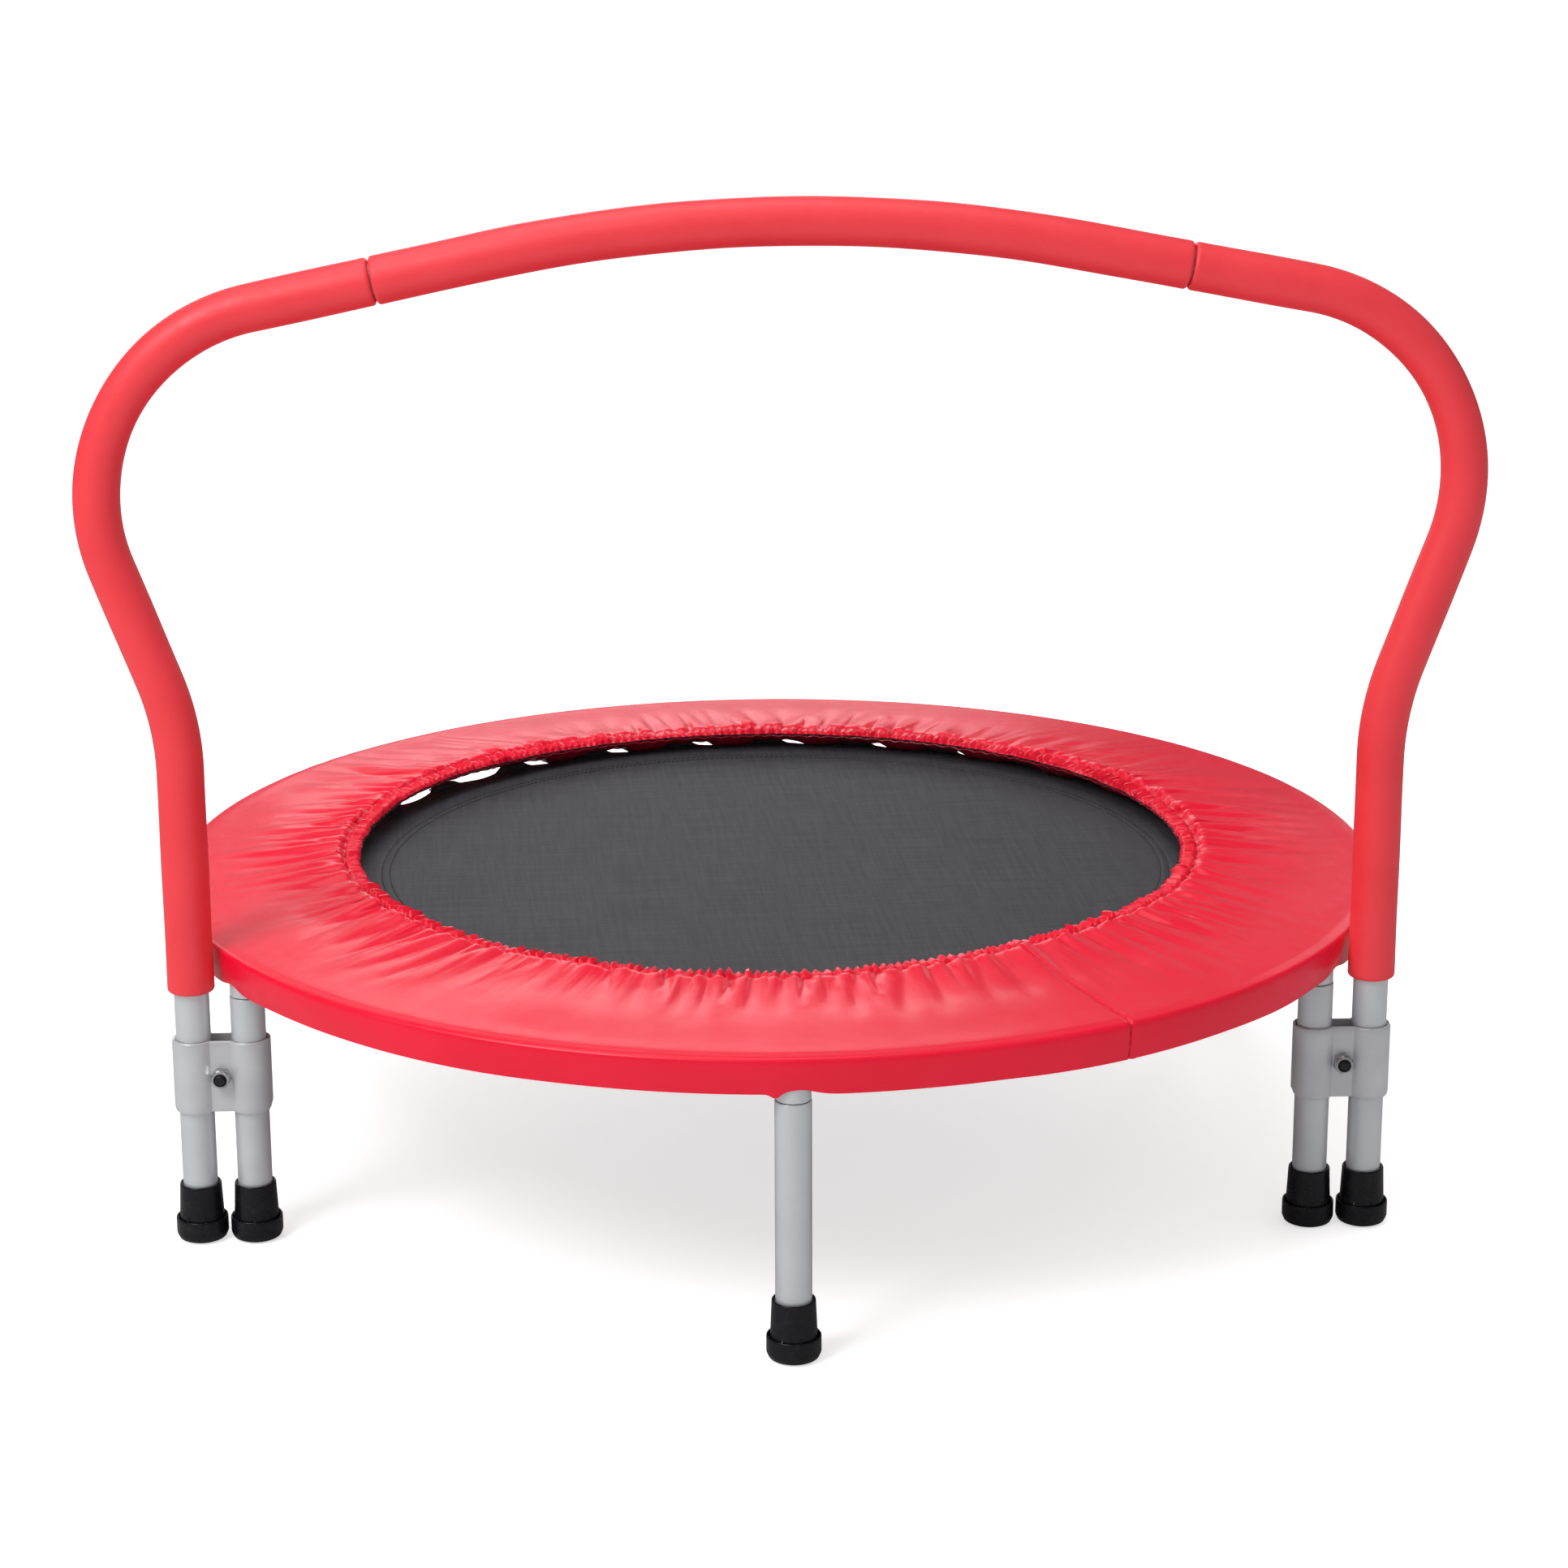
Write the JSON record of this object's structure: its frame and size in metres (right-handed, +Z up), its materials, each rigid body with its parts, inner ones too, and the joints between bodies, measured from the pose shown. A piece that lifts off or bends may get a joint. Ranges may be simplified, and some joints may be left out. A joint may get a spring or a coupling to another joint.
{
  "type": "mini trampoline",
  "caption": "Low round rebounder on screw-in legs, with a sprung mat, a gathered red spring cover and a foam-covered grab handle clamped to its front-side legs.",
  "frame": {"origin": "on the floor under the centre of the ring", "axes": "+Z up, -Y towards the front leg, +X to the right, along the handle"},
  "size_m": [0.9798, 0.9258, 0.7527],
  "materials": {
    "powder_coat": "satin silver powder coat on steel tube",
    "clamp_steel": "satin silver paint on pressed steel plate",
    "zinc": "bright zinc plate",
    "black_steel": "black oxide, satin",
    "spring_steel": "zinc-plated spring wire",
    "rubber": "moulded black rubber, matt",
    "mat_fabric": "charcoal woven polypropylene",
    "pad_fabric": "glossy red coated fabric over thin foam",
    "grip_foam": "red closed-cell foam with a smooth skin"
  },
  "bodies": {
    "frame": {"frame_ring": "powder_coat", "pad_cover": "pad_fabric", "clamp_back_left": "clamp_steel", "clamp_back_right": "clamp_steel", "clamp_bolt_left": "black_steel", "clamp_bolt_right": "black_steel", "spring_01": "spring_steel", "spring_02": "spring_steel", "spring_03": "spring_steel", "spring_04": "spring_steel", "spring_05": "spring_steel", "spring_06": "spring_steel", "spring_07": "spring_steel", "spring_08": "spring_steel", "spring_09": "spring_steel", "spring_10": "spring_steel", "spring_11": "spring_steel", "spring_12": "spring_steel", "spring_13": "spring_steel", "spring_14": "spring_steel", "spring_15": "spring_steel", "spring_16": "spring_steel", "spring_17": "spring_steel", "spring_18": "spring_steel", "spring_19": "spring_steel", "spring_20": "spring_steel", "spring_21": "spring_steel", "spring_22": "spring_steel", "spring_23": "spring_steel", "spring_24": "spring_steel", "spring_25": "spring_steel", "spring_26": "spring_steel", "spring_27": "spring_steel", "spring_28": "spring_steel"},
    "mat": {"mat": "mat_fabric"},
    "handle": {"handle_upright_left": "powder_coat", "handle_upright_right": "powder_coat", "handle_crossbar": "powder_coat", "grip_foam_left": "grip_foam", "grip_foam_middle": "grip_foam", "grip_foam_right": "grip_foam", "handle_foot_left": "rubber", "handle_foot_right": "rubber"},
    "leg_front": {"leg_front": "powder_coat", "foot_front": "rubber"},
    "leg_front_right": {"leg_front_right": "powder_coat", "foot_front_right": "rubber"},
    "leg_back_right": {"leg_back_right": "powder_coat", "foot_back_right": "rubber"},
    "leg_back": {"leg_back": "powder_coat", "foot_back": "rubber"},
    "leg_back_left": {"leg_back_left": "powder_coat", "foot_back_left": "rubber"},
    "leg_front_left": {"leg_front_left": "powder_coat", "foot_front_left": "rubber"},
    "clamp_jaw_left": {"clamp_front_left": "clamp_steel"},
    "clamp_nut_left": {"clamp_nut_left": "zinc"},
    "clamp_jaw_right": {"clamp_front_right": "clamp_steel"},
    "clamp_nut_right": {"clamp_nut_right": "zinc"}
  },
  "joints": [
    {"name": "mat_bounce", "type": "slide", "parent": "frame", "child": "mat", "axis": [0, 0, -1], "range_m": [0, 0.06], "stiffness_N_per_m": 4000, "deforming": ["spring_01", "spring_02", "spring_03", "spring_04", "spring_05", "spring_06", "spring_07", "spring_08", "spring_09", "spring_10", "spring_11", "spring_12", "spring_13", "spring_14", "spring_15", "spring_16", "spring_17", "spring_18", "spring_19", "spring_20", "spring_21", "spring_22", "spring_23", "spring_24", "spring_25", "spring_26", "spring_27", "spring_28"]},
    {"name": "handle_slide", "type": "slide", "parent": "frame", "child": "handle", "axis": [0, 0, 1], "range_m": [0, 0.055]},
    {"name": "leg_front_unscrew", "type": "hinge", "parent": "frame", "child": "leg_front", "pos_m": [0, -0.4445, 0.1], "axis": [0, 0, -1], "range_deg": [0, 720]},
    {"name": "leg_front_right_unscrew", "type": "hinge", "parent": "frame", "child": "leg_front_right", "pos_m": [0.38495, -0.22225, 0.1], "axis": [0, 0, -1], "range_deg": [0, 720]},
    {"name": "leg_back_right_unscrew", "type": "hinge", "parent": "frame", "child": "leg_back_right", "pos_m": [0.37696, 0.23555, 0.1], "axis": [0, 0, -1], "range_deg": [0, 720]},
    {"name": "leg_back_unscrew", "type": "hinge", "parent": "frame", "child": "leg_back", "pos_m": [0, 0.4445, 0.1], "axis": [0, 0, -1], "range_deg": [0, 720]},
    {"name": "leg_back_left_unscrew", "type": "hinge", "parent": "frame", "child": "leg_back_left", "pos_m": [-0.37696, 0.23555, 0.1], "axis": [0, 0, -1], "range_deg": [0, 720]},
    {"name": "leg_front_left_unscrew", "type": "hinge", "parent": "frame", "child": "leg_front_left", "pos_m": [-0.38495, -0.22225, 0.1], "axis": [0, 0, -1], "range_deg": [0, 720]},
    {"name": "clamp_nut_left_turn", "type": "hinge", "parent": "clamp_jaw_left", "child": "clamp_nut_left", "pos_m": [-0.40472, -0.22225, 0.127], "axis": [0, -1, 0], "range_deg": [0, 1440]},
    {"name": "clamp_jaw_left_open", "type": "slide", "parent": "frame", "child": "clamp_jaw_left", "axis": [0, -1, 0], "range_m": [0, 0.005]},
    {"name": "clamp_nut_right_turn", "type": "hinge", "parent": "clamp_jaw_right", "child": "clamp_nut_right", "pos_m": [0.40472, -0.22225, 0.127], "axis": [0, -1, 0], "range_deg": [0, 1440]},
    {"name": "clamp_jaw_right_open", "type": "slide", "parent": "frame", "child": "clamp_jaw_right", "axis": [0, -1, 0], "range_m": [0, 0.005]}
  ],
  "couplings": [
    {"joint": "clamp_nut_left_turn", "follows": "clamp_jaw_left_open", "rad_per_m": 5026.5},
    {"joint": "clamp_nut_right_turn", "follows": "clamp_jaw_right_open", "rad_per_m": 5026.5}
  ]
}
